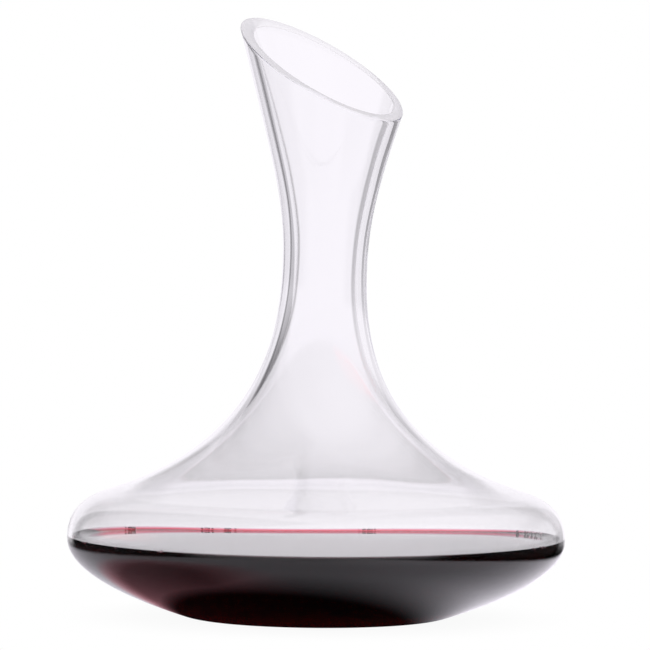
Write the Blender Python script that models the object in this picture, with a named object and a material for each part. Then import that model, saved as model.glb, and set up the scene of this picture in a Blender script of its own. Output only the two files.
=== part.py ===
"""Wine decanter: one blown vessel of clear glass, and the red wine inside it.

The vessel is a wide, flat bowl that stands on a flat base, with a sloping
shoulder, a narrow waisted neck and a flared mouth cut on a slant. Both pieces
are turned from a section that is drawn with a few Bezier knots. The rings of
the mouth are then slid along the flare until they end in the slanted cut, and
the neck leans a little, as it does on a hand-blown vessel.

Metres, +Z up. The origin is on the axis of the bowl, in the plane of the base.
"""

import math
from bisect import bisect_left

import bmesh
import bpy
from mathutils import Vector
from mathutils.geometry import interpolate_bezier

# Outside of the vessel: knots of the section, each with its tangent and pulls
BASE_R = 0.0552  # flat base, measured to its edge
BASE_SOFT = 0.0045  # how far the softened edge reaches to each side of it
UNDER_ANGLE = math.radians(18.0)  # rise of the underside where it leaves the base
UNDER_PULL = 0.0515  # measured from the edge of the base
BELLY_R = 0.109  # widest point
BELLY_Z = 0.0346
BELLY_PULL_DOWN = 0.0065
BELLY_PULL_UP = 0.0130
SHOULDER_R = 0.0925
SHOULDER_Z = 0.0546
SHOULDER_ANGLE = math.radians(17.5)  # slope of the shoulder at its knot
SHOULDER_PULL_OUT = 0.008
SHOULDER_PULL_IN = 0.0730
WAIST_R = 0.0185  # narrowest point of the neck
WAIST_Z = 0.1539
WAIST_PULL_DOWN = 0.0278
WAIST_PULL_UP = 0.0288
MOUTH_R = 0.0431  # flare at the height MOUTH_Z, before the slanted cut
MOUTH_Z = 0.262
MOUTH_ANGLE = math.radians(16.3)  # lean of the flare outwards
MOUTH_PULL = 0.0657
FLARE_END_Z = 0.285  # the flare runs on straight to here, above the cut

# Thickness of the wall, square to the outside
WALL_BASE = 0.0042
WALL_UNDER = 0.0026
WALL_BELLY = 0.0018
WALL_SHOULDER = 0.0016
WALL_WAIST = 0.0051
WALL_MOUTH = 0.0048
WALL_BASE_SHARE = 0.55  # WALL_BASE holds this far from the axis to the base edge
WALL_UNDER_SHARE = 0.45  # WALL_UNDER lies this far from the base edge to the belly

# Slanted cut of the mouth: a plane, CUT_Z high on the axis
CUT_Z = 0.2368
CUT_SLOPE_X = -0.504
CUT_SLOPE_Y = 0.3257
CUT_ROUNDS = 40  # repeats that settle the height where a wall meets the cut
LIP_CROWN = 0.0010  # rise of the fire-polished lip above its two edges
SLIDE_FROM_Z = 0.185  # rings above this height slide to meet the cut

# Lean of the neck towards +X, eased in over the shoulder
NECK_LEAN = math.tan(math.radians(2.2))
LEAN_FROM_Z = 0.060
LEAN_FULL_Z = 0.100

# The bore of the neck lies off the middle, towards +X, and less so in the flare
BORE_SHIFT = 0.0006
BORE_FROM_Z = 0.075
BORE_RISE = 0.065  # height over which the shift eases in
BORE_FADE = 0.7  # share of the shift that the flare loses
BORE_FADE_FROM_Z = 0.19
BORE_FADE_RISE = 0.07

# Wine
WINE_LEVEL = 0.0331
WINE_GAP = 0.0003  # clearance between the wine and the glass
WINE_EDGE_CLEAR = 0.0012  # the last side ring stays at least this far below the level

# Fineness
SEGMENTS = 48
CURVE_STEPS = 96  # points of each Bezier stretch that the section is read from
FLARE_STEPS = 8  # steps of the straight end of the flare
UNDER_RINGS = 5
BELLY_RINGS = 9
BELLY_REACH = 0.020  # length below the widest point that has the closer rings
SHOULDER_RINGS = 11
FLARE_RINGS = 8
LIP_RINGS = 5
FLOOR_RINGS = 3
WINE_TOP_RINGS = 2
MERGE_DISTANCE = 1e-6
SHARP_ANGLE = math.radians(50)


def clear_scene():
    for obj in list(bpy.data.objects):
        bpy.data.objects.remove(obj, do_unlink=True)


# Numbers and polylines of (radius, z) points


def mix(start, end, share):
    return start + (end - start) * share


def unit_share(value):
    """The value held between 0 and 1."""
    return min(1.0, max(0.0, value))


def ease(share):
    share = unit_share(share)
    return share * share * (3 - 2 * share)


def spread(start, end, count):
    """Count values from start to end, with start left out and end included."""
    return [start + (end - start) * k / count for k in range(1, count + 1)]


def pull(angle, length):
    """Step of this length in the section, at an angle above the horizontal."""
    return (length * math.cos(angle), length * math.sin(angle))


def moved(point, step):
    return (point[0] + step[0], point[1] + step[1])


def stretch(start, start_pull, end_pull, end):
    """One Bezier stretch of the section; the pulls are measured from its knots."""
    controls = (start, moved(start, start_pull), moved(end, end_pull), end)
    points = interpolate_bezier(*(Vector((*point, 0)) for point in controls), CURVE_STEPS)
    return [(point.x, point.y) for point in points]


def running_lengths(line):
    """Length along the polyline at each of its points."""
    lengths = [0.0]
    for start, end in zip(line, line[1:]):
        lengths.append(lengths[-1] + math.dist(start, end))
    return lengths


def offset(line, lengths, depth):
    """The polyline moved inwards, square to itself, by depth(length)."""
    result = []
    last = len(line) - 1
    for k, (radius, z) in enumerate(line):
        before, after = line[max(k - 1, 0)], line[min(k + 1, last)]
        run, rise = after[0] - before[0], after[1] - before[1]
        scale = depth(lengths[k]) / math.hypot(run, rise)
        result.append((max(radius - rise * scale, 0.0), z + run * scale))
    return result


def radius_at(line, z, first=1):
    """Radius where the polyline, from its point `first` on, reaches a height."""
    for k in range(first, len(line)):
        if z <= line[k][1]:
            start, end = line[k - 1], line[k]
            return mix(start[0], end[0], (z - start[1]) / (end[1] - start[1]))
    return line[-1][0]


# Section of the vessel


def outer_section():
    """Fine polyline of the outside from the axis to the end of the flare, and
    the index in it of each knot."""
    base = (BASE_R, 0.0)
    base_inside = (BASE_R - BASE_SOFT, 0.0)
    base_outside = moved(base, pull(UNDER_ANGLE, BASE_SOFT))
    belly = (BELLY_R, BELLY_Z)
    shoulder = (SHOULDER_R, SHOULDER_Z)
    waist = (WAIST_R, WAIST_Z)
    mouth = (MOUTH_R, MOUTH_Z)
    edge_pull = BASE_SOFT * 2 / 3
    under_pull = UNDER_PULL - BASE_SOFT
    mouth_rise = math.pi / 2 - MOUTH_ANGLE

    flat = [(BASE_R * k / CURVE_STEPS, 0.0) for k in range(CURVE_STEPS)]
    line = [point for point in flat if point[0] < base_inside[0] - 1e-6]
    line += stretch(base_inside, (edge_pull, 0), pull(UNDER_ANGLE, -edge_pull), base_outside)
    marks = {"base": len(line) - CURVE_STEPS // 2}

    # Name of the end knot, start knot, its pull, pull of the end knot, end knot
    curves = (
        ("belly", base_outside, pull(UNDER_ANGLE, under_pull), (0, -BELLY_PULL_DOWN), belly),
        ("shoulder", belly, (0, BELLY_PULL_UP), pull(-SHOULDER_ANGLE, SHOULDER_PULL_OUT), shoulder),
        ("waist", shoulder, pull(-SHOULDER_ANGLE, -SHOULDER_PULL_IN), (0, -WAIST_PULL_DOWN), waist),
        ("mouth", waist, (0, WAIST_PULL_UP), pull(mouth_rise, -MOUTH_PULL), mouth),
    )
    for name, *curve in curves:
        line += stretch(*curve)[1:]
        marks[name] = len(line) - 1

    for rise in spread(0.0, FLARE_END_Z - MOUTH_Z, FLARE_STEPS):
        line.append(moved(mouth, (rise * math.tan(MOUTH_ANGLE), rise)))
    marks["end"] = len(line) - 1
    return line, marks


def wall_at(length, stations):
    """Wall thickness at a length along the outside, eased between stations."""
    for (start, start_wall), (end, end_wall) in zip(stations, stations[1:]):
        if length <= end:
            return mix(start_wall, end_wall, ease((length - start) / (end - start)))
    return stations[-1][1]


class Section:
    """Outside and inside of the vessel, read by length or by height."""

    def __init__(self):
        self.outer, marks = outer_section()
        self.lengths = running_lengths(self.outer)
        self.belly_index = marks["belly"]
        self.mark = {name: self.lengths[k] for name, k in marks.items()}
        stations = self.wall_stations()
        self.inner = offset(self.outer, self.lengths, lambda length: wall_at(length, stations))

    def wall_stations(self):
        """Length along the outside and wall thickness there."""
        mark = self.mark
        return [
            (0.0, WALL_BASE),
            (WALL_BASE_SHARE * mark["base"], WALL_BASE),
            (mix(mark["base"], mark["belly"], WALL_UNDER_SHARE), WALL_UNDER),
            (mark["belly"], WALL_BELLY),
            (mark["shoulder"], WALL_SHOULDER),
            (mark["waist"], WALL_WAIST),
            (mark["mouth"], WALL_MOUTH),
            (mark["end"], WALL_MOUTH),
        ]

    def at_length(self, line, length):
        """Point of a polyline that is paired with this length of the outside."""
        k = bisect_left(self.lengths, length, lo=1)
        if k == len(self.lengths):
            return line[-1]
        share = (length - self.lengths[k - 1]) / (self.lengths[k] - self.lengths[k - 1])
        start, end = line[k - 1], line[k]
        return (mix(start[0], end[0], share), mix(start[1], end[1], share))

    def upper_radius(self, line, z):
        """Radius of a wall at a height above the belly."""
        return radius_at(line, z, self.belly_index + 1)

    def slid_point(self, line, top, share):
        """Point of a wall at a share of the height from the slide to the top."""
        z = mix(SLIDE_FROM_Z, top, share)
        return (self.upper_radius(line, z), z)

    def cut_height(self, line, azimuth):
        """Height at which a wall ends, a lip crown below the slanted cut."""
        slope = CUT_SLOPE_X * math.cos(azimuth) + CUT_SLOPE_Y * math.sin(azimuth)
        z = CUT_Z
        for _ in range(CUT_ROUNDS):
            z = CUT_Z - LIP_CROWN + slope * self.upper_radius(line, z)
        return z

    def ring_lengths(self):
        """Lengths along the outside at which rings lie, base edge to the slide."""
        base, belly, shoulder = (self.mark[name] for name in ("base", "belly", "shoulder"))
        slide = next(
            self.lengths[k]
            for k in range(self.belly_index, len(self.outer))
            if self.outer[k][1] >= SLIDE_FROM_Z
        )
        rings_below = BELLY_RINGS // 2
        lengths = [base - BASE_SOFT, base, base + BASE_SOFT]
        lengths += spread(base + BASE_SOFT, belly - BELLY_REACH, UNDER_RINGS)
        lengths += spread(belly - BELLY_REACH, belly, rings_below)
        lengths += spread(belly, shoulder, BELLY_RINGS - rings_below)
        lengths += spread(shoulder, slide, SHOULDER_RINGS)
        return lengths


# Sideways offsets of the neck, towards +X


def lean(z):
    """Sideways offset of the whole neck; its slope eases up to NECK_LEAN."""
    span = LEAN_FULL_Z - LEAN_FROM_Z
    share = unit_share((z - LEAN_FROM_Z) / span)
    eased = span * (share**3 - share**4 / 2)  # integral of the ease
    return NECK_LEAN * (eased + max(0.0, z - LEAN_FULL_Z))


def bore(z):
    """Sideways offset of the inside of the neck from the outside."""
    gain = ease((z - BORE_FROM_Z) / BORE_RISE)
    fade = BORE_FADE * ease((z - BORE_FADE_FROM_Z) / BORE_FADE_RISE)
    return BORE_SHIFT * gain * (1 - fade)


# Meshes and materials


def spin_section(points):
    """Turn an open section, from the axis round to the axis, into a solid. The
    layer "place" of its vertices holds their index in the section."""
    bm = bmesh.new()
    place = bm.verts.layers.int.new("place")
    verts = []
    for k, (radius, z) in enumerate(points):
        vert = bm.verts.new((radius, 0.0, z))
        vert[place] = k
        verts.append(vert)
    edges = [bm.edges.new(pair) for pair in zip(verts, verts[1:])]
    bmesh.ops.spin(
        bm,
        geom=verts + edges,
        cent=(0, 0, 0),
        axis=(0, 0, 1),
        angle=2 * math.pi,
        steps=SEGMENTS,
        use_merge=True,
    )
    bmesh.ops.remove_doubles(bm, verts=bm.verts, dist=MERGE_DISTANCE)
    return bm


def finish(name, bm, material):
    """Turn the bmesh into a smooth-shaded object of the scene."""
    bmesh.ops.recalc_face_normals(bm, faces=bm.faces)
    mesh = bpy.data.meshes.new(name)
    bm.to_mesh(mesh)
    bm.free()
    mesh.materials.append(material)
    mesh.shade_smooth()
    mesh.set_sharp_from_angle(angle=SHARP_ANGLE)
    bpy.context.scene.collection.objects.link(bpy.data.objects.new(name, mesh))


def make_material(name, colour, roughness, transmission, ior):
    material = bpy.data.materials.new(name)
    material.use_nodes = True
    inputs = material.node_tree.nodes["Principled BSDF"].inputs
    inputs["Base Color"].default_value = (*colour, 1.0)
    inputs["Roughness"].default_value = roughness
    inputs["Transmission Weight"].default_value = transmission
    inputs["IOR"].default_value = ior
    material.diffuse_color = (*colour, 1.0)
    return material


def clear_glass():
    return make_material(
        "clear_glass", colour=(0.95, 0.96, 0.97), roughness=0.02, transmission=1.0, ior=1.52
    )


def red_wine():
    return make_material(
        "red_wine", colour=(0.12, 0.005, 0.012), roughness=0.03, transmission=0.6, ior=1.34
    )


# Glass


def glass_rings(section):
    """Rings of the vessel with a level mouth, as (point, kind, share), in order:
    base, outer wall, outer flare, lip, inner flare, inner wall, floor.

    The kinds "outside" and "inside" keep their place; "outer", "lip" and
    "inner" slide to the cut. The share is the place within the kind."""
    lengths = section.ring_lengths()
    outside = [section.at_length(section.outer, length) for length in lengths]
    floor = [outside[0][0] * k / FLOOR_RINGS for k in range(1, FLOOR_RINGS)]
    outside = [(0.0, 0.0)] + [(radius, 0.0) for radius in floor] + outside
    # On the flat base, the length along the outside is the radius
    inside = [(0.0, section.inner[0][1])]
    inside += [section.at_length(section.inner, length) for length in floor + lengths]

    shares = spread(0.0, 1.0, FLARE_RINGS)
    outer = [section.slid_point(section.outer, MOUTH_Z, share) for share in shares]
    inner = [section.slid_point(section.inner, MOUTH_Z, share) for share in shares]

    rings = [(point, "outside", 0) for point in outside]
    rings += [(point, "outer", share) for point, share in zip(outer, shares)]
    for k in range(LIP_RINGS):
        share = (1 + k) / (LIP_RINGS + 1)
        radius = mix(outer[-1][0], inner[-1][0], share)
        rings.append(((radius, MOUTH_Z + LIP_CROWN), "lip", share))
    rings += [(point, "inner", share) for point, share in reversed(list(zip(inner, shares)))]
    rings += [(point, "inside", 0) for point in reversed(inside)]
    return rings


def lip_point(outer_edge, inner_edge, share):
    """Point of the rounded lip, and how far it has turned to the inside."""
    turn = (1 - math.cos(math.pi * share)) / 2
    radius = mix(outer_edge[0], inner_edge[0], turn)
    z = mix(outer_edge[1], inner_edge[1], turn) + LIP_CROWN * math.sin(math.pi * share)
    return (radius, z), turn


def make_glass(section):
    """The vessel: spun with a level mouth, then slid to the slanted cut."""
    rings = glass_rings(section)
    bm = spin_section([point for point, _, _ in rings])
    place = bm.verts.layers.int["place"]
    walls = (section.outer, section.inner)
    # Height of the outer and the inner edge of the mouth at each segment
    cuts = [
        [section.cut_height(line, 2 * math.pi * k / SEGMENTS) for line in walls]
        for k in range(SEGMENTS)
    ]
    for vert in bm.verts:
        _, kind, share = rings[vert[place]]
        x, y, z = vert.co
        inward = 1.0 if kind in ("inner", "inside") else 0.0
        if kind in ("outer", "lip", "inner"):
            azimuth = math.atan2(y, x)
            outer_cut, inner_cut = cuts[round(azimuth / (2 * math.pi) * SEGMENTS) % SEGMENTS]
            if kind == "outer":
                radius, z = section.slid_point(section.outer, outer_cut, share)
            elif kind == "inner":
                radius, z = section.slid_point(section.inner, inner_cut, share)
            else:
                outer_edge = (section.upper_radius(section.outer, outer_cut), outer_cut)
                inner_edge = (section.upper_radius(section.inner, inner_cut), inner_cut)
                (radius, z), inward = lip_point(outer_edge, inner_edge, share)
            x, y = radius * math.cos(azimuth), radius * math.sin(azimuth)
        vert.co = (x + lean(z) + bore(z) * inward, y, z)
    finish("glass_body", bm, clear_glass())


# Wine


def make_wine(section):
    """The wine: the inside of the bowl up to its level, less the clearance."""
    skin = offset(section.inner, section.lengths, lambda _: WINE_GAP)
    floor_length = section.mark["base"] - BASE_SOFT
    lengths = [floor_length * k / FLOOR_RINGS for k in range(1, FLOOR_RINGS)]
    lengths += section.ring_lengths()
    side = [section.at_length(skin, length) for length in lengths]
    edge = radius_at(skin, WINE_LEVEL)

    points = [(0.0, skin[0][1])]
    points += [point for point in side if point[1] < WINE_LEVEL - WINE_EDGE_CLEAR]
    points.append((edge, WINE_LEVEL))
    for k in range(WINE_TOP_RINGS):
        points.append((edge * (1 - (k + 1) / (WINE_TOP_RINGS + 1)), WINE_LEVEL))
    points.append((0.0, WINE_LEVEL))
    finish("wine", spin_section(points), red_wine())


def main():
    clear_scene()
    section = Section()
    make_glass(section)
    make_wine(section)


main()
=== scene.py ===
"""Looks of a wine decanter: fine glass with a leaning neck and a slanting mouth,
the wine with its meniscus, bubbles at its edge, and a plain white studio.

The base stands on z = 0 round the Z axis, the neck leans towards +X, and the
camera looks along +Y. Lengths are in metres."""

import math
import random

import bmesh
import bpy
import numpy as np
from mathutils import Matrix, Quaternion, Vector
from mathutils.geometry import interpolate_bezier


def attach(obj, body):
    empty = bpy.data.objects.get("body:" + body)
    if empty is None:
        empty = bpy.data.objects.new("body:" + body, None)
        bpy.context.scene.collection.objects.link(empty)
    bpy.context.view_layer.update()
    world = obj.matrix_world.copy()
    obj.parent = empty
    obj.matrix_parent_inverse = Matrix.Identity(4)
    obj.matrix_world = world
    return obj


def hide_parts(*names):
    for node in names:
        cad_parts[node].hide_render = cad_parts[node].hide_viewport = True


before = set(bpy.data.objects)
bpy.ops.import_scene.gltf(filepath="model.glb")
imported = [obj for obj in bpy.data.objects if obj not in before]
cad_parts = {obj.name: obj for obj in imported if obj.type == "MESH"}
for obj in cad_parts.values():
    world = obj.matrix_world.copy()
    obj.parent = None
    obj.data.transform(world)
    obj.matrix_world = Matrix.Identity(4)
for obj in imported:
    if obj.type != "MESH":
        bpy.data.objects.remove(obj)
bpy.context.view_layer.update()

# ---------------------------------------------------------------- dimensions
# Outside section: knots at radius R and height Z. A PULL is the length of a
# curve handle, and an ANGLE is the slope of the section at a knot.
BASE_R, BASE_SOFT = 0.0552, 0.0045  # SOFT: half the rounding at the edge of the base
UNDER_ANGLE, UNDER_PULL = math.radians(18.0), 0.0515
BELLY_R, BELLY_Z, BELLY_PULL_DOWN, BELLY_PULL_UP = 0.109, 0.0346, 0.0065, 0.0130
SHOULDER_R, SHOULDER_Z, SHOULDER_ANGLE = 0.0925, 0.0546, math.radians(17.5)
SHOULDER_PULL_OUT, SHOULDER_PULL_IN = 0.008, 0.0730
WAIST_R, WAIST_Z, WAIST_PULL_DOWN, WAIST_PULL_UP = 0.0185, 0.1539, 0.0278, 0.0288
MOUTH_R, MOUTH_Z, MOUTH_ANGLE, MOUTH_PULL = 0.0431, 0.262, math.radians(16.3), 0.0657
FLARE_END_Z = 0.285  # the section runs on straight to here, beyond the cut

WALL_BASE, WALL_UNDER, WALL_BELLY = 0.0042, 0.0026, 0.0018
WALL_SHOULDER, WALL_WAIST, WALL_MOUTH = 0.0016, 0.0051, 0.0048
BORE_SHIFT = 0.0006  # the bore of the neck lies off the middle, towards +X
NECK_LEAN, LEAN_FROM_Z, LEAN_FULL_Z = math.tan(math.radians(2.2)), 0.060, 0.100

# The slanting cut of the mouth: height on the axis and slopes
CUT_Z, CUT_SLOPE_X, CUT_SLOPE_Y = 0.2368, -0.504, 0.3257
LIP_CROWN = 0.0010  # how far the lip domes over its edges
SLIDE_FROM_Z = 0.185  # above this the rings tilt gradually into the cut

# Unevenness of the blown glass
OUTER_WAVE, INNER_WAVE = 0.00006, 0.00012
OUTER_SEED, INNER_SEED = 3, 7
FLARE_WAVE_RUN = 0.06  # length over which the waves run between slide and lip
OUTER_WAVE_FADE, INNER_WAVE_FADE = 0.03, 0.012  # they fade in past base and wine

WINE_LEVEL = 0.0331
WINE_SKIN = 0.00003  # the wine stands this far off the glass, so that no faces coincide
CAPILLARY = 0.00222  # capillary length of wine at 12 % alcohol
CONTACT_ANGLE = math.radians(27)
MENISCUS_RISE = CAPILLARY * math.sqrt(2 * (1 - math.sin(CONTACT_ANGLE)))

# Fineness
SEGMENTS = 240
CURVE_STEPS = 400
SOFT_STEPS = FLAT_STEPS = 60
END_STEPS = 40
FLARE_RINGS = 40
LIP_STEPS = 18
RING_GAP = 0.0004  # no other ring lies closer than this to the edge of the wine
SHARP_ANGLE = math.radians(25)

# Bubbles: (azimuth of the cluster in degrees, how many)
BUBBLE_CLUSTERS = (
    (-172, 2), (-157, 2), (-141, 2), (-130, 2), (-29, 2), (-24, 2),
    (22, 3), (27, 4), (77, 8), (111, 5), (117, 7), (141, 5),
)
BUBBLE_SEED, BUBBLE_SCATTER = 11, 1.4  # scatter in degrees
BUBBLE_SIZES = (0.00035, 0.0009)
BUBBLE_INSETS = (1.02, 1.3)  # distance from the wall, in bubble sizes
BUBBLE_HOLLOW = 0.93  # inner skin over outer skin
BUBBLE_FLAT_BELOW, BUBBLE_FLAT_ABOVE = 0.62, 0.94
BUBBLE_NEAR_RISE, BUBBLE_FALL = 0.85, 0.0016  # share of the meniscus, and its decay

# Optics
GLASS_IOR, WINE_IOR, FILM_IOR = 1.52, 1.344, 1.33
GLASS_ABSORPTION, GLASS_DENSITY = (0.03, 0.0, 0.22, 1), 5.0  # grey through long paths
WINE_ABSORPTION, WINE_DENSITY = (0.972, 0.0, 0.20, 1), 1100.0
LIP_CLEAR, LIP_ROUGHNESS = 0.25, 0.16


# ------------------------------------------------------------------ section
def stretch(start, start_pull, end_pull, end, steps=CURVE_STEPS):
    """Points of a Bezier curve between two (radius, height) knots."""
    start, end = Vector((*start, 0)), Vector((*end, 0))
    start_handle = (start[0] + start_pull[0], start[1] + start_pull[1], 0)
    end_handle = (end[0] + end_pull[0], end[1] + end_pull[1], 0)
    points = interpolate_bezier(start, Vector(start_handle), Vector(end_handle), end, steps)
    return [(point.x, point.y) for point in points]


def outer_section():
    """The outside as (radius, height) points, and the index of each named knot."""
    cos_under, sin_under = math.cos(UNDER_ANGLE), math.sin(UNDER_ANGLE)
    cos_shoulder, sin_shoulder = math.cos(SHOULDER_ANGLE), math.sin(SHOULDER_ANGLE)
    cos_mouth, sin_mouth = math.cos(MOUTH_ANGLE), math.sin(MOUTH_ANGLE)
    inside_edge = (BASE_R - BASE_SOFT, 0.0)
    outside_edge = (BASE_R + BASE_SOFT * cos_under, BASE_SOFT * sin_under)
    belly, shoulder = (BELLY_R, BELLY_Z), (SHOULDER_R, SHOULDER_Z)
    waist, mouth = (WAIST_R, WAIST_Z), (MOUTH_R, MOUTH_Z)

    line = [(inside_edge[0] * k / FLAT_STEPS, 0.0) for k in range(FLAT_STEPS)]
    soft = BASE_SOFT * 2 / 3
    line += stretch(
        inside_edge, (soft, 0), (-soft * cos_under, -soft * sin_under), outside_edge, SOFT_STEPS
    )
    marks = {"base": len(line) - SOFT_STEPS // 2}

    under = UNDER_PULL - BASE_SOFT
    out, back = SHOULDER_PULL_OUT, SHOULDER_PULL_IN
    # knot reached: (start, handle at the start, handle at the end, end)
    curves = {
        "belly": (
            outside_edge, (under * cos_under, under * sin_under), (0, -BELLY_PULL_DOWN), belly
        ),
        "shoulder": (
            belly, (0, BELLY_PULL_UP), (out * cos_shoulder, -out * sin_shoulder), shoulder
        ),
        "waist": (
            shoulder, (-back * cos_shoulder, back * sin_shoulder), (0, -WAIST_PULL_DOWN), waist
        ),
        "mouth": (
            waist, (0, WAIST_PULL_UP), (-MOUTH_PULL * sin_mouth, -MOUTH_PULL * cos_mouth), mouth
        ),
    }
    for name, curve in curves.items():
        line += stretch(*curve)[1:]
        marks[name] = len(line) - 1
    run = (FLARE_END_Z - MOUTH_Z) / END_STEPS
    for k in range(1, END_STEPS + 1):
        line.append((MOUTH_R + run * k * math.tan(MOUTH_ANGLE), MOUTH_Z + run * k))
    marks["end"] = len(line) - 1
    return np.array(line), marks


def ease(share):
    share = np.clip(share, 0.0, 1.0)
    return share * share * (3 - 2 * share)


def offset(line, depth):
    """The line moved inwards by a depth at each point."""
    heading = np.gradient(line, axis=0)
    heading /= np.linalg.norm(heading, axis=1)[:, None]
    radius = np.maximum(line[:, 0] - depth * heading[:, 1], 0)
    return np.stack([radius, line[:, 1] + depth * heading[:, 0]], 1)


OUTER, MARKS = outer_section()
LENGTH = np.concatenate([[0], np.cumsum(np.linalg.norm(np.diff(OUTER, axis=0), axis=1))])
MARK = {name: LENGTH[k] for name, k in MARKS.items()}
RISING = MARKS["belly"]  # from here on the section only rises


def wall_depth():
    under = MARK["base"] + 0.45 * (MARK["belly"] - MARK["base"])
    # (length along the section, wall)
    stations = [
        (0.0, WALL_BASE),
        (0.55 * MARK["base"], WALL_BASE),
        (under, WALL_UNDER),
        (MARK["belly"], WALL_BELLY),
        (MARK["shoulder"], WALL_SHOULDER),
        (MARK["waist"], WALL_WAIST),
        (MARK["mouth"], WALL_MOUTH),
        (MARK["end"], WALL_MOUTH),
    ]
    depth = np.full(len(LENGTH), WALL_MOUTH)
    # from the top down, as each span also overwrites all that lies before it
    for (start, first), (end, last) in reversed(list(zip(stations, stations[1:]))):
        before = LENGTH <= end
        depth[before] = (first + (last - first) * ease((LENGTH - start) / (end - start)))[before]
    return depth


INNER = offset(OUTER, wall_depth())


def at_length(line, along):
    """(radius, height) of a line at a length measured on the outside."""
    radius = np.interp(along, LENGTH, line[:, 0])
    return np.stack([radius, np.interp(along, LENGTH, line[:, 1])], -1)


def radius_at(line, z):
    return np.interp(z, line[RISING:, 1], line[RISING:, 0])


def lean(z):
    """Sideways offset of the leaning neck, which sets in softly."""
    span = LEAN_FULL_Z - LEAN_FROM_Z
    share = np.clip((z - LEAN_FROM_Z) / span, 0, 1)
    return NECK_LEAN * (span * (share**3 - share**4 / 2) + np.maximum(0, z - LEAN_FULL_Z))


def bore(z):
    """Sideways offset of the inside of the neck from the outside."""
    return BORE_SHIFT * ease((z - 0.075) / 0.065) * (1 - 0.7 * ease((z - 0.19) / 0.07))


def spaced(start, end, count):
    return start + (end - start) * np.arange(1, count + 1) / count


def fixed_lengths():
    """Where rings lie along the section, from the base to the slide."""
    slide = LENGTH[RISING:][OUTER[RISING:, 1] >= SLIDE_FROM_Z][0]
    base, belly, shoulder = MARK["base"], MARK["belly"], MARK["shoulder"]
    return np.concatenate(
        [
            spaced(0.004, base - BASE_SOFT, 8),
            spaced(base - BASE_SOFT, base + BASE_SOFT, 8),
            spaced(base + BASE_SOFT, belly - 0.022, 18),
            spaced(belly - 0.022, belly, 22),
            spaced(belly, shoulder, 26),
            spaced(shoulder, slide, 60),
        ]
    )


def wetted_length():
    """Length along the section at which the meniscus meets the inner wall."""
    top = WINE_LEVEL + MENISCUS_RISE
    k = np.argmax(INNER[:, 1] >= top)
    share = (top - INNER[k - 1, 1]) / (INNER[k, 1] - INNER[k - 1, 1])
    return LENGTH[k - 1] + share * (LENGTH[k] - LENGTH[k - 1])


OUTER_RINGS = fixed_lengths()
WET = wetted_length()
INNER_RINGS = np.unique(
    np.concatenate([OUTER_RINGS[np.abs(OUTER_RINGS - WET) > RING_GAP], [WET]])
)

# -------------------------------------------------------------------- rings
AZIMUTH = np.arange(SEGMENTS) * 2 * np.pi / SEGMENTS
COS, SIN = np.cos(AZIMUTH), np.sin(AZIMUTH)


def cut_height(line):
    """Height of the cut round a wall, found by iteration as the radius depends on it."""
    slope = CUT_SLOPE_X * COS + CUT_SLOPE_Y * SIN
    z = np.full(SEGMENTS, CUT_Z)
    for _ in range(60):
        z = CUT_Z - LIP_CROWN + slope * radius_at(line, z)
    return z


def unevenness(line, along, share=1.0):
    """Slow, small waves of blown glass: a sum of a few long waves."""
    seed, size = (INNER_SEED, INNER_WAVE) if line is INNER else (OUTER_SEED, OUTER_WAVE)
    rng = np.random.RandomState(seed)
    total = np.zeros(SEGMENTS)
    for _ in range(9):
        turns = rng.randint(1, 6)
        rate = rng.uniform(15, 75)
        phase, phase_along = rng.uniform(0, 2 * np.pi, 2)
        around = np.sin(turns * AZIMUTH + phase + 1.5 * np.sin(rate * along))
        total = total + around * np.cos(rate * along + phase_along) / (1 + 0.02 * rate)
    return size * share * total / 3.0


def flat_ring(radius, z):
    return radius * COS, radius * SIN, np.full(SEGMENTS, z)


def leaning_ring(radius, z, bore_share):
    return radius * COS + lean(z) + bore(z) * bore_share, radius * SIN, z


def wall_ring(line, along, share):
    """A level ring of the wall, with its waves square to the surface."""
    radius, z = at_length(line, along)
    wobble = unevenness(line, along, share)
    heading = at_length(line, along + 1e-4) - at_length(line, along - 1e-4)
    heading /= np.linalg.norm(heading)
    bore_share = float(line is INNER)
    return leaning_ring(radius + wobble * heading[1], z - wobble * heading[0], bore_share)


def flare_ring(line, top, share):
    """A ring at a share of the way from the slide up to the cut."""
    slide = OUTER_RINGS[-1]
    start = at_length(line, slide)[1]
    z = start + (top - start) * share
    radius = radius_at(line, z) + unevenness(line, slide + share * FLARE_WAVE_RUN)
    return leaning_ring(radius, z, float(line is INNER))


def lip_rings(outer_top, inner_top):
    """The domed lip, from the outer wall over to the inner."""
    end = OUTER_RINGS[-1] + FLARE_WAVE_RUN
    outer_radius = radius_at(OUTER, outer_top) + unevenness(OUTER, end)
    inner_radius = radius_at(INNER, inner_top) + unevenness(INNER, end)
    rings = []
    for k in range(1, LIP_STEPS):
        share = k / LIP_STEPS
        turn = (1 - math.cos(math.pi * share)) / 2
        radius = outer_radius + (inner_radius - outer_radius) * turn
        z = outer_top + (inner_top - outer_top) * turn
        z = z + LIP_CROWN * math.sin(math.pi * share) ** 0.7
        rings.append(leaning_ring(radius, z, turn))
    return rings


# ------------------------------------------------------------------- meshes
def link_object(name, mesh):
    made = bpy.data.objects.new(name, mesh)
    bpy.context.scene.collection.objects.link(made)
    return made


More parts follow.
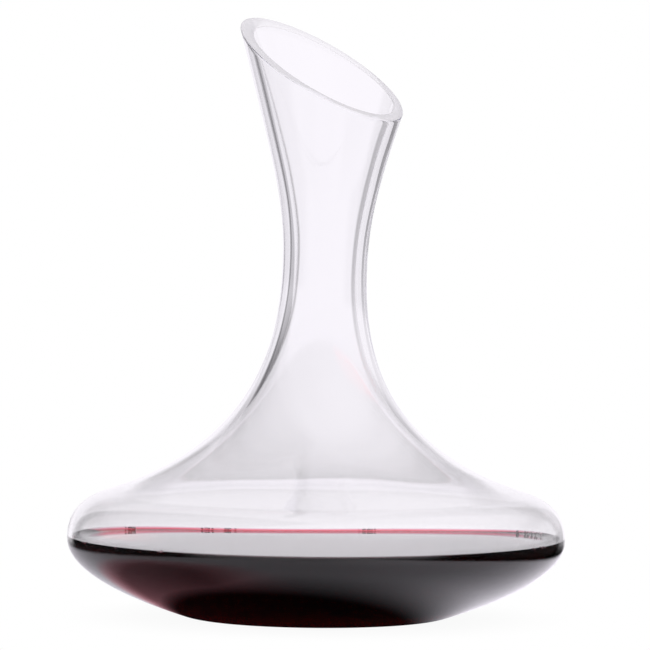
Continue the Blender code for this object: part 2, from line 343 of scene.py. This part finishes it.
def turned(name, rings, end_heights, ring_parts, marked):
    """A mesh over rings of (x, y, z) arrays, closed on two points of the axis. The
    faces after each ring belong to its part; marked parts become face attributes."""
    ends = [[0, 0, z] for z in end_heights]
    points = np.concatenate([np.stack(ring, 1) for ring in rings] + [ends])
    here = np.arange(SEGMENTS)
    after = (here + 1) % SEGMENTS
    total = len(rings) * SEGMENTS
    last = total - SEGMENTS
    faces = []
    for low in range(0, last, SEGMENTS):
        high = low + SEGMENTS
        faces += np.stack([low + here, low + after, high + after, high + here], 1).tolist()
    faces += np.stack([after, here, np.full(SEGMENTS, total)], 1).tolist()
    faces += np.stack([last + here, last + after, np.full(SEGMENTS, total + 1)], 1).tolist()
    face_parts = np.repeat(ring_parts[:-1] + ring_parts[:1] + ring_parts[-1:], SEGMENTS)

    mesh = bpy.data.meshes.new(name)
    mesh.from_pydata(points.tolist(), [], faces)
    # the whole piece has one material
    mesh.polygons.foreach_set("material_index", np.zeros(len(faces), np.int32))
    mesh.shade_smooth()
    mesh.set_sharp_from_angle(angle=SHARP_ANGLE)
    mesh.update()
    for part in marked:
        attribute = mesh.attributes.new(part, "FLOAT", "FACE")
        attribute.data.foreach_set("value", (face_parts == part).astype(float))
    return link_object(name, mesh)


def make_vessel():
    """Up the outside, over the lip and down the inside."""
    outer_top, inner_top = cut_height(OUTER), cut_height(INNER)
    flare = spaced(0.0, 1.0, FLARE_RINGS)
    # the base that stands on the table is left true
    rings = [
        wall_ring(OUTER, along, ease((along - MARK["base"]) / OUTER_WAVE_FADE))
        for along in OUTER_RINGS
    ]
    rings += [flare_ring(OUTER, outer_top, share) for share in flare]
    parts = ["wall"] * len(rings)
    rings += lip_rings(outer_top, inner_top)
    parts += ["lip"] * (LIP_STEPS - 1)
    rings += [flare_ring(INNER, inner_top, share) for share in flare[::-1]]
    parts += ["wall"] * FLARE_RINGS
    for along in INNER_RINGS[::-1]:
        rings.append(wall_ring(INNER, along, ease((along - WET) / INNER_WAVE_FADE)))
        parts.append("wetted" if along <= WET else "wall")
    heights = (OUTER[0, 1], INNER[0, 1])
    return turned("glass_vessel", rings, heights, parts, ("wetted", "lip"))


def meniscus_reach(rise):
    """How far from the wall the surface of the wine still stands `rise` high."""

    def run(height):
        return math.acosh(2 / height) - math.sqrt(4 - height * height)

    return CAPILLARY * (run(rise / CAPILLARY) - run(MENISCUS_RISE / CAPILLARY))


def make_wine():
    """The wine from the floor up the wetted wall, over the meniscus and in."""
    skin = offset(INNER, np.full(len(INNER), WINE_SKIN))
    wetted = INNER_RINGS[INNER_RINGS <= WET]
    rings = [flat_ring(*at_length(skin, along)) for along in wetted]
    parts = ["wall"] * (len(rings) - 1)
    edge = at_length(skin, WET)[0]
    shares = np.concatenate([np.linspace(0.985, 0.3, 34), np.geomspace(0.28, 0.01, 22)])
    for rise in MENISCUS_RISE * shares:
        radius = edge - meniscus_reach(rise)
        rings.append(flat_ring(radius, WINE_LEVEL + rise))
    # the level middle starts a millimetre inside the last ring of the meniscus
    rings += [flat_ring(level, WINE_LEVEL) for level in np.linspace(radius - 0.001, 0.003, 30)]
    parts += ["free_surface"] * (len(rings) - len(parts))
    return turned("wine_fill", rings, (skin[0, 1], WINE_LEVEL), parts, ("free_surface",))


def add_bubble_skin(bm, radius, centre):
    """A sphere, flatter below, where the bubble sits in the wine."""
    verts = bmesh.ops.create_icosphere(bm, subdivisions=3, radius=radius)["verts"]
    for vert in verts:
        flat = BUBBLE_FLAT_BELOW if vert.co.z < 0 else BUBBLE_FLAT_ABOVE
        vert.co = Vector((vert.co.x, vert.co.y, vert.co.z * flat)) + centre
    return verts


def make_bubbles():
    """Tiny hollow bubbles that cling where the wine meets the glass, in a few
    loose clusters round the edge."""
    rng = random.Random(BUBBLE_SEED)
    bm = bmesh.new()
    edge = at_length(INNER, WET)[0] - WINE_SKIN
    spots = [
        (math.radians(centre + rng.gauss(0, BUBBLE_SCATTER)), rng.uniform(*BUBBLE_SIZES))
        for centre, count in BUBBLE_CLUSTERS
        for _ in range(count)
    ]
    for azimuth, size in spots:
        inset = size * rng.uniform(*BUBBLE_INSETS)
        radius = edge - inset
        # on the side of the camera (-Y) they all ride high on the meniscus
        share = BUBBLE_NEAR_RISE if azimuth < 0 else math.exp(-inset / BUBBLE_FALL)
        z = WINE_LEVEL + MENISCUS_RISE * share
        centre = Vector((radius * math.cos(azimuth), radius * math.sin(azimuth), z))
        add_bubble_skin(bm, size, centre)
        hollow = add_bubble_skin(bm, size * BUBBLE_HOLLOW, centre)
        inward = {face for vert in hollow for face in vert.link_faces}
        bmesh.ops.reverse_faces(bm, faces=list(inward))
    mesh = bpy.data.meshes.new("edge_bubbles")
    bm.to_mesh(mesh)
    bm.free()
    mesh.polygons.foreach_set("use_smooth", np.ones(len(mesh.polygons), bool))
    return link_object("edge_bubbles", mesh)


# ------------------------------------------------------------- shader nodes
class Graph:
    """Adds nodes to a node tree. Any input takes a value, or an output to link."""

    def __init__(self, tree):
        self.tree = tree

    def fill(self, node, inputs):
        for key, value in inputs.items():
            if isinstance(value, bpy.types.NodeSocket):
                self.tree.links.new(value, node.inputs[key])
            else:
                node.inputs[key].default_value = value

    def add(self, kind, inputs=None, **settings):
        made = self.tree.nodes.new("ShaderNode" + kind)
        for key, value in settings.items():
            setattr(made, key, value)
        self.fill(made, inputs or {})
        return made

    def calc(self, operation, *values):
        return self.add("Math", dict(enumerate(values)), operation=operation).outputs[0]

    def times(self, first, second):
        return self.calc("MULTIPLY", first, second)

    def remap(self, value, over, to=(0.0, 1.0), kind="SMOOTHSTEP"):
        """The value taken from the range `over` to the range `to`."""
        inputs = {
            "Value": value,
            "From Min": over[0],
            "From Max": over[1],
            "To Min": to[0],
            "To Max": to[1],
        }
        return self.add("MapRange", inputs, interpolation_type=kind).outputs["Result"]

    def choose(self, factor, plain, there):
        inputs = {"Factor": factor, "A": plain, "B": there}
        return self.add("Mix", inputs, data_type="FLOAT").outputs["Result"]

    def camera_axes(self, vector):
        """A world vector split into X to the right, Y up and Z away from the camera."""
        turn = self.add(
            "VectorTransform",
            {"Vector": vector},
            vector_type="VECTOR",
            convert_from="WORLD",
            convert_to="CAMERA",
        )
        return self.add("SeparateXYZ", {"Vector": turn.outputs["Vector"]}).outputs


def new_material(name):
    made = bpy.data.materials.new(name)
    made.use_nodes = True
    return made, Graph(made.node_tree)


# ---------------------------------------------------------------- materials
def clear_material(
    name, ior, roughness, spread, bump=0.0, bump_scale=40.0, tint=(1, 1, 1), transmission=1.0
):
    """A dielectric whose roughness varies from place to place by up to `spread`,
    with ripples of the height `bump`."""
    made, graph = new_material(name)
    shader = graph.tree.nodes["Principled BSDF"]
    look = {
        "Base Color": (*tint, 1),
        "Roughness": roughness,
        "IOR": ior,
        "Transmission Weight": transmission,
    }
    graph.fill(shader, look)
    place = graph.add("TexCoord").outputs["Object"]
    noise = graph.add(
        "TexNoise", {"Vector": place, "Scale": 22.0, "Detail": 3.0, "Roughness": 0.55}
    )
    polish = graph.remap(
        noise.outputs["Fac"], over=(0.35, 0.75), to=(roughness, roughness + spread), kind="LINEAR"
    )
    graph.fill(shader, {"Roughness": polish})
    if bump:
        ripple = graph.add(
            "TexNoise", {"Vector": place, "Scale": bump_scale, "Detail": 1.0, "Roughness": 0.4}
        )
        lift = graph.add(
            "Bump", {"Strength": 1.0, "Distance": bump, "Height": ripple.outputs["Fac"]}
        )
        graph.fill(shader, {"Normal": lift.outputs["Normal"]})
    return made, graph, shader


def absorb(graph, colour, density):
    volume = graph.add("VolumeAbsorption", {"Color": colour, "Density": density})
    graph.fill(graph.tree.nodes["Material Output"], {"Volume": volume.outputs["Volume"]})


def glass_material():
    """One clear crystal: polished all over, milky at the lip, and without an
    optical face of its own where wine wets it."""
    made, graph, shader = clear_material(
        "crystal", GLASS_IOR, roughness=0.0, spread=0.006, bump=0.000004, bump_scale=60
    )
    polish = shader.inputs["Roughness"].links[0].from_socket
    # (part, input, value elsewhere, value on the part)
    for part, socket, plain, there in (
        ("wetted", "IOR", GLASS_IOR, 1.0),
        ("lip", "Roughness", polish, LIP_ROUGHNESS),
        ("lip", "Transmission Weight", 1.0, LIP_CLEAR),
    ):
        factor = graph.add("Attribute", attribute_name=part).outputs["Fac"]
        graph.fill(shader, {socket: graph.choose(factor, plain, there)})
    absorb(graph, GLASS_ABSORPTION, GLASS_DENSITY)
    return made


def wine_material():
    """One liquid, so that a ray may enter it by the surface and leave by the wall:
    against air on its surface, and against glass where it wets the wall."""
    made, graph, shader = clear_material(
        "red_wine_liquid", WINE_IOR, roughness=0.0, spread=0.004, bump=0.000003, bump_scale=25
    )
    free = graph.add("Attribute", attribute_name="free_surface").outputs["Fac"]
    ior = graph.remap(free, over=(0.0, 1.0), to=(WINE_IOR / GLASS_IOR, WINE_IOR), kind="LINEAR")
    graph.fill(shader, {"IOR": ior})
    absorb(graph, WINE_ABSORPTION, WINE_DENSITY)
    return made


def film_material():
    made, _, _ = clear_material(
        "bubble_film",
        FILM_IOR,
        roughness=0.05,
        spread=0.1,
        tint=(0.97, 0.82, 0.86),
        transmission=0.25,
    )
    return made


# -------------------------------------------------------------------- floor
# Places on the table are (to the camera's right, away from the camera).
FLOOR_RADIUS, FLOOR_Z = 0.60, -0.0003
FLOOR_FADE = (0.15, 0.50)  # it fades into the room over these radii
# a painted shadow of the decanter, seen directly under the base
FLOOR_SHADE = 0.94  # seen directly, under the base
# painted light of the table, brighter to the right, as mirrored in the bowl
FLOOR_LEFT, FLOOR_RIGHT = 0.86, 1.32  # as mirrored in the bowl
# painted light levels of the table, as seen through the wine
THROUGH_LEFT, THROUGH_RIGHT, THROUGH_BEHIND = 1.1, 0.0, 0.92  # as seen through the wine
# a painted dim level of the table
DIM_TABLE = 0.12  # through the wine from higher up
# Painted shadow spots on the table: a spot's middle, and the radii between which it ends
SHADE_AT, SHADE_RADII, SHADE_LEVEL = (-0.011, -0.034), (0.050, 0.092), 0.004
# a painted shadow to the left of the bowl, tinted red as by light through the wine
RED_AT, RED_RADII, RED_LEVEL = (-0.072, -0.056), (0.030, 0.085), 0.16
# tints of the table's painted light, and of the painted red light to the left
TABLE_LIGHT_HUE, RED_CAUSTIC_HUE = (1.0, 0.955, 1.05, 1), (2.1, 0.90, 1.08, 1)


def from_point(graph, place, x, y):
    inputs = {0: place, 1: (x, y, 0)}
    return graph.add("VectorMath", inputs, operation="DISTANCE").outputs["Value"]


def mirrored_level(graph, place, across):
    """The table mirrored in the bowl, with its light and shade painted in: a painted shadow
    under it, deeper away from the side light, and the painted lit part of the table ends
    close to it on the right."""
    under = graph.remap(from_point(graph, place, *SHADE_AT), SHADE_RADII, to=(SHADE_LEVEL, 1.0))
    # the painted red-tinted shadow to the left
    red_shadow = graph.remap(from_point(graph, place, *RED_AT), RED_RADII, to=(RED_LEVEL, 1.0))
    under = graph.calc("MINIMUM", under, red_shadow)
    # painted side light, brighter to the right
    toward = graph.remap(across, over=(-0.01, 0.13), to=(FLOOR_LEFT, FLOOR_RIGHT))
    right_end = graph.remap(across, over=(0.138, 0.162), to=(1.0, 0.0))
    left_end = graph.remap(across, over=(-0.21, -0.16), to=(0.04, 1.0))
    ends = graph.times(right_end, left_end)
    return graph.times(graph.times(under, toward), ends)


def through_level(graph, place, across, camera_height, ray_depth):
    """The table through the wine: painted light on the left of the bowl, painted shade on its
    right.
    """
    level = graph.remap(across, over=(-0.095, -0.060), to=(THROUGH_LEFT, THROUGH_RIGHT))
    behind = graph.remap(from_point(graph, place, 0, 0), over=(0.130, 0.155))
    bright = graph.add("Value").outputs[0]
    bright.default_value = THROUGH_BEHIND
    level = graph.choose(behind, level, bright)
    # from higher up the wine stands over an evenly dim painted table, and past the clear
    # glass, which a ray crosses in four steps at most, the table stays pale
    plain = graph.remap(ray_depth, over=(4.4, 4.6), to=(THROUGH_BEHIND, DIM_TABLE))
    return graph.choose(graph.remap(camera_height, over=(0.10, 0.22)), level, plain)


def painted_table_light_hue(graph, place, path):
    """Painted red light, standing for light that has come through the wine, lies on the table
    to the left; the camera itself sees the table white."""
    spot = graph.remap(from_point(graph, place, *RED_AT), RED_RADII, to=(1.0, 0.0))
    early = graph.remap(path["Ray Depth"], over=(2.4, 2.6), to=(1.0, 0.0))
    red = graph.times(spot, early)
    hue = graph.add("Mix", {"A": TABLE_LIGHT_HUE, "B": RED_CAUSTIC_HUE, "Factor": red}, data_type="RGBA")
    inputs = {"A": hue.outputs["Result"], "B": (1, 1, 1, 1), "Factor": path["Is Camera Ray"]}
    return graph.add("Mix", inputs, data_type="RGBA").outputs["Result"]


def floor_material():
    made, graph = new_material("pale_floor")
    graph.tree.nodes.remove(graph.tree.nodes["Principled BSDF"])
    path = graph.add("LightPath").outputs
    # the plane of the table with X to the camera's right and Y away from it
    seen_from = graph.camera_axes(graph.add("TexCoord").outputs["Object"])
    place = graph.add("CombineXYZ", {"X": seen_from["X"], "Y": seen_from["Z"]})
    place = place.outputs["Vector"]
    # how steeply the camera looks down
    downward = graph.add("CombineXYZ", {"Z": -1.0}).outputs["Vector"]
    camera_height = graph.camera_axes(downward)["Z"]
    across = graph.add("SeparateXYZ", {"Vector": place}).outputs["X"]

    mirrored = mirrored_level(graph, place, across)
    through = through_level(graph, place, across, camera_height, path["Ray Depth"])
    inside = graph.choose(path["Is Transmission Ray"], mirrored, through)
    # seen directly: white, with a faint painted soft shadow where the base stands
    middle = from_point(graph, place, 0, 0)
    direct = graph.remap(middle, over=(0.045, 0.12), to=(FLOOR_SHADE, 1.0))
    seen = graph.choose(path["Is Camera Ray"], inside, direct)
    # the table glows with its painted light and shade instead of being lit
    glow = graph.add("Emission", {"Color": painted_table_light_hue(graph, place, path), "Strength": seen})
    far = graph.remap(from_point(graph, place, 0, 0), FLOOR_FADE)
    gone = graph.add("BsdfTransparent")
    mix = graph.add(
        "MixShader", {"Fac": far, 1: glow.outputs["Emission"], 2: gone.outputs["BSDF"]}
    )
    graph.fill(graph.tree.nodes["Material Output"], {"Surface": mix.outputs["Shader"]})
    return made


def make_floor():
    """A pale table top that fades into the white room. It glows with its light and shade
    painted in, and this painted shading turns with the camera, like the room."""
    bm = bmesh.new()
    bmesh.ops.create_circle(bm, cap_ends=True, segments=128, radius=FLOOR_RADIUS)
    mesh = bpy.data.meshes.new("floor")
    bm.to_mesh(mesh)
    bm.free()
    floor = link_object("floor", mesh)
    floor.location.z = FLOOR_Z
    floor.data.materials.append(floor_material())


# -------------------------------------------------------------------- world
# Angles are in degrees: `side` runs from the way the camera looks, right is
# positive, and `lift` is the height over the horizon.
BACKDROP = 1.0
TINT = (0.995, 0.967, 1.015)
SOFT_BOX = 0.25
LEFT_SLANT = 1.0  # how far the left gap's outer edge moves per degree of lift


def room_level(graph, across, side, away, lift):
    """The backdrop with a gap on each side, dimmer high up and low down."""
    calc, times, remap = graph.calc, graph.times, graph.remap
    # the gap on the left, with a darker core
    inner_edge = remap(side, over=(-30.0, -26.5), to=(1.0, 0.0))
    outer_edge = remap(calc("ADD", side, times(lift, LEFT_SLANT)), over=(-57.0, -50.0))
    left = times(inner_edge, outer_edge)
    left = times(left, remap(lift, over=(3.0, 20.0), to=(0.40, 0.66)))
    from_core = calc("ABSOLUTE", calc("ADD", side, 35.0))
    core = remap(from_core, over=(1.5, 4.5), to=(0.55, 0.0))
    # the gap on the right
    from_right = calc("ABSOLUTE", calc("SUBTRACT", side, 23.0))
    right = remap(from_right, over=(6.5, 10.0), to=(1.0, 0.0))
    right = times(right, remap(lift, over=(-9.0, 8.0), to=(0.66, 0.20)))
    level = times(calc("SUBTRACT", 1.0, left), calc("SUBTRACT", 1.0, core))
    level = times(level, calc("SUBTRACT", 1.0, right))
    # ahead it is evenly lit round the horizon, and dimmer above and below
    ahead = remap(away, over=(60.0, 90.0), to=(1.0, 0.0))
    above = remap(lift, over=(14.0, 22.0), to=(0.0, 0.26))
    below = remap(lift, over=(-40.0, -15.0), to=(0.22, 0.0))
    level = times(level, calc("SUBTRACT", 1.0, times(ahead, calc("ADD", above, below))))
    # overhead the light comes more from the right
    slant = remap(across, over=(-0.7, 0.7), to=(-0.35, 0.25))
    high = remap(lift, over=(20.0, 50.0))
    level = times(level, calc("ADD", 1.0, times(slant, high)))
    return times(level, BACKDROP)


def add_mirrored(graph, level, away, lift, mirrored):
    """A wide soft box overhead, and dark to both sides near the horizon; these
    show only where a surface mirrors them."""
    calc, times, remap = graph.calc, graph.times, graph.remap
    dark = times(
        remap(away, over=(22.0, 32.0)), remap(away, over=(112.0, 135.0), to=(1.0, 0.0))
    )
    from_band = calc("ABSOLUTE", calc("ADD", lift, 12.0))
    dark = times(dark, remap(from_band, over=(13.0, 17.0), to=(0.97, 0.0)))
    level = times(level, calc("SUBTRACT", 1.0, times(dark, mirrored)))
    box = times(remap(lift, over=(27.0, 32.0)), remap(away, over=(55.0, 65.0), to=(1.0, 0.0)))
    return calc("ADD", level, times(times(box, mirrored), SOFT_BOX))


def make_world():
    """A white room, with softer and darker walls to the sides, so that the glass
    draws its own edges. It turns with the camera, as a photographer's flags would
    be set again for each view. The camera itself sees plain white."""
    world = bpy.data.worlds.new("studio")
    world.use_nodes = True
    bpy.context.scene.world = world
    graph = Graph(world.node_tree)
    graph.tree.nodes.clear()
    output = graph.add("OutputWorld")
    axes = graph.camera_axes(graph.add("TexCoord").outputs["Generated"])
    degrees = 180 / math.pi
    side = graph.times(graph.calc("ARCTAN2", axes["X"], axes["Z"]), degrees)
    away = graph.calc("ABSOLUTE", side)
    lift = graph.times(graph.calc("ARCSINE", axes["Y"]), degrees)
    level = room_level(graph, axes["X"], side, away, lift)
    path = graph.add("LightPath").outputs
    level = add_mirrored(graph, level, away, lift, path["Is Reflection Ray"])
    room = graph.add("Background", {"Color": (*TINT, 1), "Strength": level})
    plain = graph.add("Background", {"Color": (1, 1, 1, 1), "Strength": 1.0})
    sources = {
        "Fac": path["Is Camera Ray"],
        1: room.outputs["Background"],
        2: plain.outputs["Background"],
    }
    mix = graph.add("MixShader", sources)
    graph.fill(output, {"Surface": mix.outputs["Shader"]})


# ------------------------------------------------------------------- camera
CAMERA_TARGET = Vector((0.0031, 0.0, 0.1282))
CAMERA_DISTANCE = 3.2
CAMERA_RISE, CAMERA_ROLL = math.radians(2.9), math.radians(0.5)
VIEW_WIDTH = 0.284245  # width of the picture at the target
SENSOR_WIDTH = 36.0  # millimetres


def make_camera():
    """A long lens a little above level, rolled a little."""
    data = bpy.data.cameras.new("camera")
    camera = link_object("camera", data)
    bpy.context.scene.camera = camera
    data.sensor_width = SENSOR_WIDTH
    data.lens = SENSOR_WIDTH * CAMERA_DISTANCE / VIEW_WIDTH
    data.clip_start, data.clip_end = 0.05, 60.0
    back = Vector((0.0, -math.cos(CAMERA_RISE), math.sin(CAMERA_RISE)))
    camera.location = CAMERA_TARGET + back * CAMERA_DISTANCE
    camera.rotation_mode = "QUATERNION"
    look = (-back).to_track_quat("-Z", "Y")
    camera.rotation_quaternion = Quaternion(-back, -CAMERA_ROLL) @ look


def set_render():
    scene = bpy.context.scene
    scene.view_settings.view_transform = "Standard"
    # the many faces of glass and wine need long light paths
    scene.cycles.max_bounces = 40
    scene.cycles.transmission_bounces = 40
    scene.cycles.glossy_bounces = 24
    scene.cycles.transparent_max_bounces = 32
    scene.cycles.diffuse_bounces = 4


def main():
    vessel = make_vessel()
    wine = make_wine()
    bubbles = make_bubbles()

    vessel.data.materials.append(glass_material())
    wine.data.materials.append(wine_material())
    bubbles.data.materials.append(film_material())

    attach(vessel, "root")
    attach(wine, "root")
    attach(bubbles, "root")
    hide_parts("glass_body")
    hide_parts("wine")

    make_floor()
    make_world()
    make_camera()
    set_render()


main()
